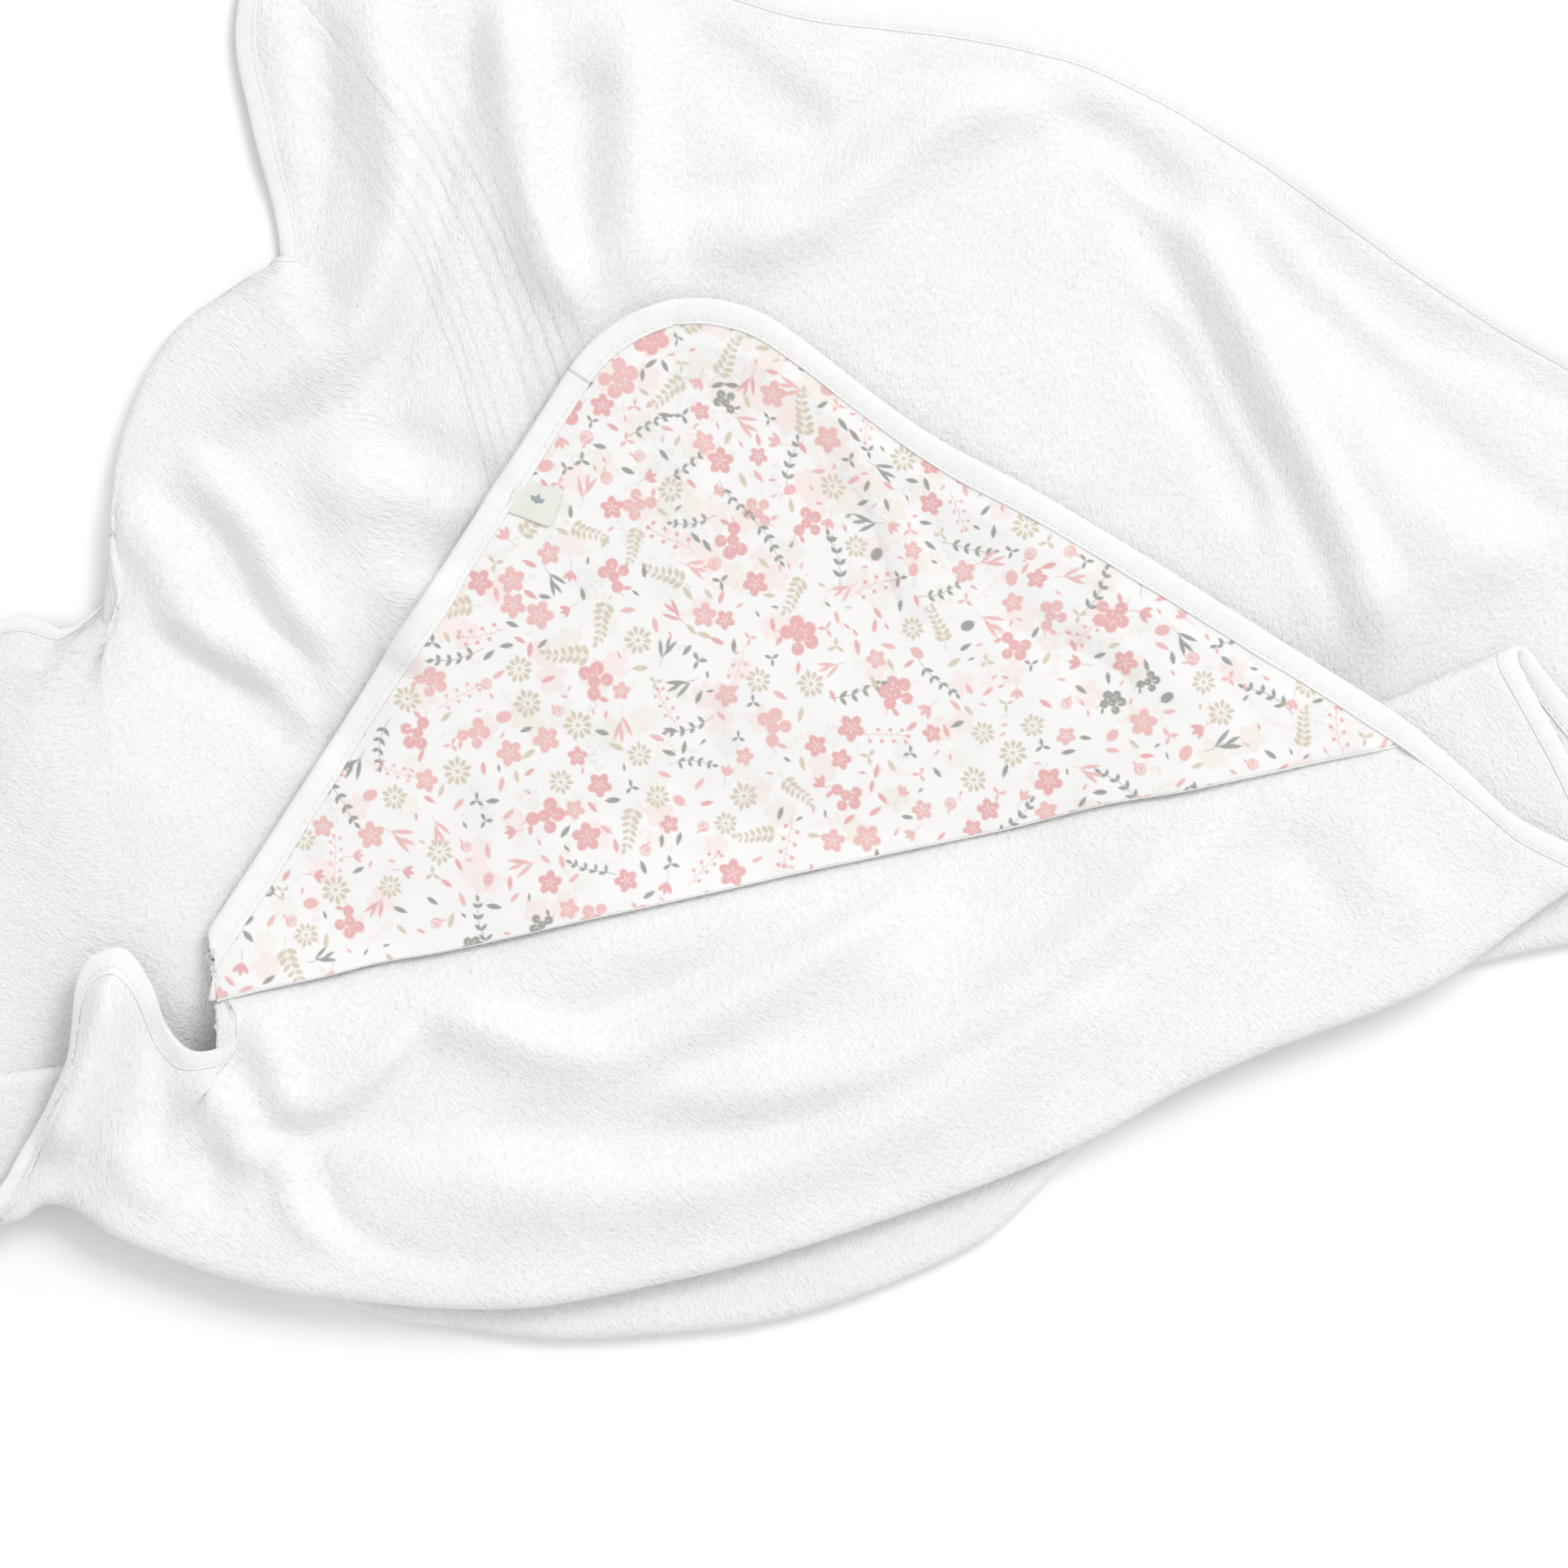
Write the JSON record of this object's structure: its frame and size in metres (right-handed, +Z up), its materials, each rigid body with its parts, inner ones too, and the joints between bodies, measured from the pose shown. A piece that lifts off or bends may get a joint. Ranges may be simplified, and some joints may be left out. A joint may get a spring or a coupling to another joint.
{
  "type": "hooded baby towel",
  "caption": "Square terry towel with bound edges and a printed triangular hood in one corner, lying loosely gathered on a flat surface.",
  "frame": {"origin": "centre of the bounding box on the plane that the towel lies on", "axes": "+Z up from the surface, +X towards the towel's right corner, +Y towards the fold beyond the hood"},
  "size_m": [0.9214, 0.4908, 0.0308],
  "materials": {
    "terry": "white cotton terry, fine loop pile",
    "binding": "smooth white cotton jersey tape",
    "thread": "white polyester sewing thread",
    "printed_cotton": "white cotton jersey with a small floral print",
    "label_tape": "woven satin tape",
    "label_mark": "woven thread motif",
    "care_tape": "printed satin tape"
  },
  "bodies": {
    "towel": {"towel_body": "terry", "edge_binding": "binding", "hood_seam_stitching": "thread"},
    "hood": {"hood_terry_backing": "terry", "hood_print_face": "printed_cotton"},
    "label_tab": {"brand_label": "label_tape", "label_mark": "label_mark"},
    "care_tab": {"care_label": "care_tape"}
  },
  "joints": [
    {"name": "hood_open", "type": "hinge", "parent": "towel", "child": "hood", "pos_m": [0.01836, 0.09805, 0.00899], "axis": [-0.9768, -0.2143, 0], "range_deg": [0, 12]},
    {"name": "brand_label_flip", "type": "hinge", "parent": "towel", "child": "label_tab", "pos_m": [-0.0367, 0.0442, 0.0127], "axis": [-0.3401, -0.9404, 0], "range_deg": [0, 150]},
    {"name": "care_label_flip", "type": "hinge", "parent": "towel", "child": "care_tab", "pos_m": [0.37911, 0.05968, 0.00595], "axis": [-0.6656, 0.7463, 0], "range_deg": [0, 150]}
  ]
}
